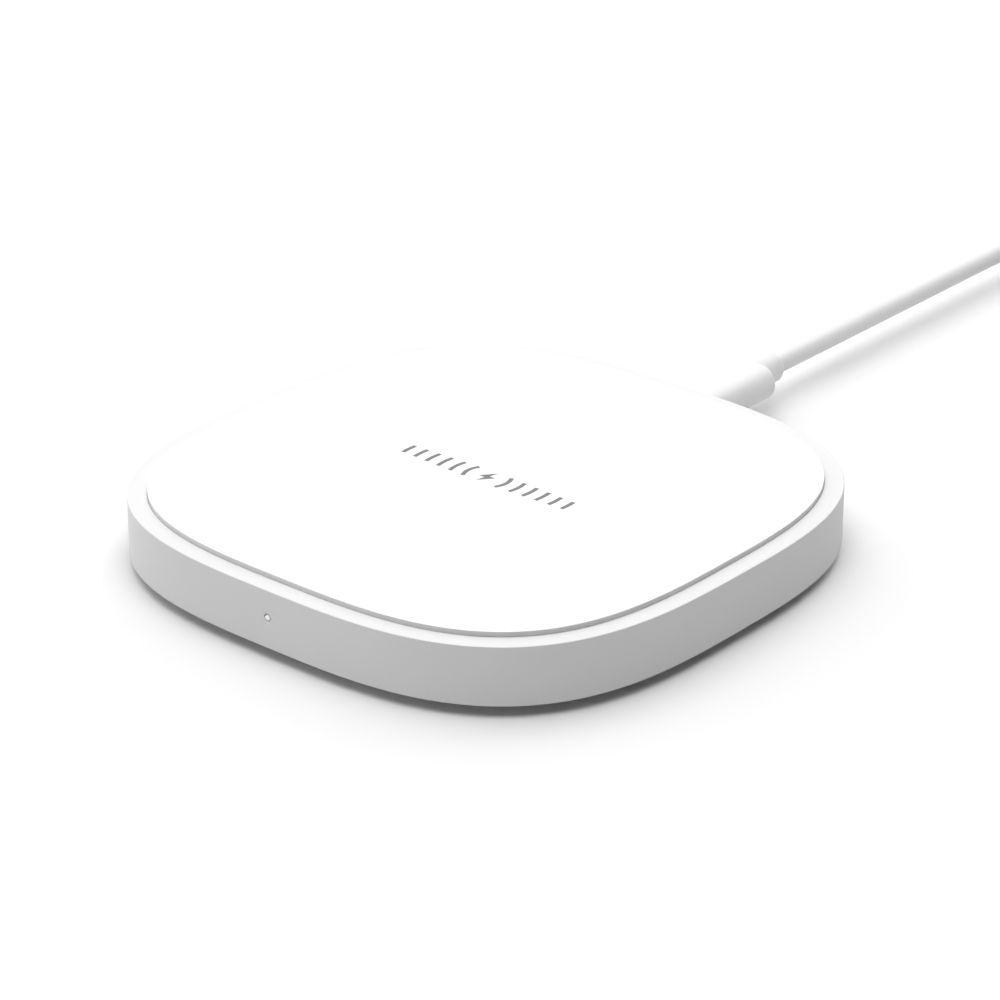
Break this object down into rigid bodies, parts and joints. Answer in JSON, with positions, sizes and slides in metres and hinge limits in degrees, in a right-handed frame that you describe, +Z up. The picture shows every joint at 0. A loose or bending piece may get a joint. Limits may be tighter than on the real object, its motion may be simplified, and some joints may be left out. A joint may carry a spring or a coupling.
{
  "type": "wireless charging pad",
  "caption": "Soft-square white wireless charging pad on a foot ring, with a status light in its front wall and a detachable USB-C to USB-A cable plugged into its back.",
  "frame": {"origin": "middle of the pad on the surface it stands on", "axes": "+Z up, +Y out of the port side along the cable, -Y out of the side with the status light, +X to the right seen from the status light's side"},
  "size_m": [0.1138, 0.2499, 0.0125],
  "materials": {
    "casing_white": "satin moulded white plastic",
    "cover_white": "matte moulded white plastic",
    "foot_rubber": "grey silicone rubber",
    "adhesive": "double-sided adhesive film",
    "screw_steel": "zinc-plated steel",
    "copper": "enamelled copper litz wire",
    "ferrite": "dark matt ferrite",
    "foam": "black closed-cell foam",
    "board_green": "green solder mask",
    "thermal_grey": "soft thermal pad",
    "chip_black": "black moulding compound",
    "ceramic_tan": "ceramic chip part",
    "bead_brown": "epoxy bead",
    "led_cream": "LED package",
    "lens_milky": "milky light pipe",
    "connector_steel": "nickel-plated steel",
    "contact_gold": "gold-plated contacts",
    "insulator_dark": "dark liquid-crystal polymer",
    "insulator_white": "white nylon",
    "grip_white": "satin white overmould",
    "jacket_white": "smooth white thermoplastic jacket",
    "tie_grey": "pale woven hook-and-loop strap"
  },
  "bodies": {
    "pad": {"top_plate": "casing_white", "plate_tape": "adhesive", "housing": "casing_white", "bottom_cover": "cover_white", "foot_ring": "foot_rubber", "foot_tape": "adhesive", "cover_screws": "screw_steel", "board_screws": "screw_steel", "power_coil": "copper", "coil_leads": "copper", "coil_tape": "adhesive", "ferrite_shield": "ferrite", "foam_spacer": "foam", "circuit_board": "board_green", "thermal_pad": "thermal_grey", "controller_chip": "chip_black", "bridge_transistors": "chip_black", "resonant_capacitors": "ceramic_tan", "input_capacitors": "ceramic_tan", "input_inductor": "ferrite", "sense_resistor": "chip_black", "crystal": "connector_steel", "voltage_regulator": "chip_black", "small_passives": "ceramic_tan", "coil_thermistor": "bead_brown", "status_led": "led_cream", "light_pipe": "lens_milky", "socket_shell": "connector_steel", "socket_tongue": "insulator_dark", "socket_contacts": "contact_gold"},
    "cable": {"plug_shell": "connector_steel", "plug_insulator": "insulator_dark", "plug_contacts": "contact_gold", "plug_board": "board_green", "plug_overmould": "grip_white", "plug_collar": "grip_white", "cable_run": "jacket_white", "cable_coil": "jacket_white", "cable_end": "jacket_white", "cable_tie": "tie_grey", "usb_a_collar": "grip_white", "usb_a_overmould": "grip_white", "usb_a_shell": "connector_steel", "usb_a_insulator": "insulator_white", "usb_a_contacts": "contact_gold"}
  },
  "joints": [
    {"name": "usb_plug_slide", "type": "slide", "parent": "pad", "child": "cable", "axis": [0, 1, 0], "range_m": [0, 0.01]}
  ]
}
